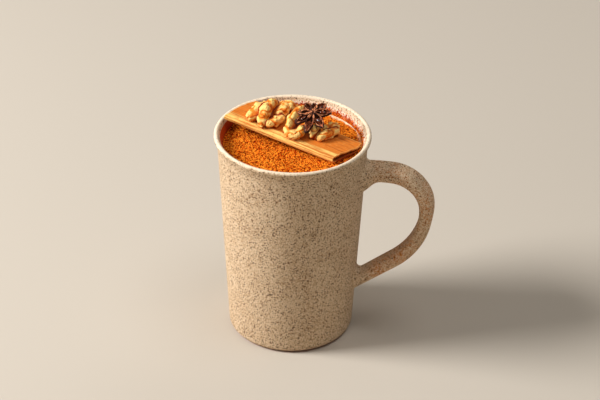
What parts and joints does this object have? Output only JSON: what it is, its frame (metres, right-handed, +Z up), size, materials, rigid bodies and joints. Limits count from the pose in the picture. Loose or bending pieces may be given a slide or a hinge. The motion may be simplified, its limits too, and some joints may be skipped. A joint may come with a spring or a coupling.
{
  "type": "cup of salep",
  "caption": "Tall stoneware mug with a strap handle, filled with salep under ground cinnamon, topped with cinnamon bark, walnuts and a star anise.",
  "frame": {"origin": "centre of the mug's flat base, on its axis, where it stands", "axes": "+Z up along the mug's axis, +X towards the handle, +Y to the back"},
  "size_m": [0.122, 0.086, 0.1377],
  "materials": {
    "stoneware": "matte",
    "drink": "matte",
    "bark": "matte",
    "walnut": "satin",
    "anise": "satin"
  },
  "bodies": {
    "root": {"mug": "stoneware", "salep": "drink", "cinnamon_bark": "bark", "walnut_left": "walnut", "walnut_middle": "walnut", "walnut_right": "walnut", "walnut_chip": "walnut", "walnut_back": "walnut", "star_anise": "anise"}
  },
  "joints": []
}
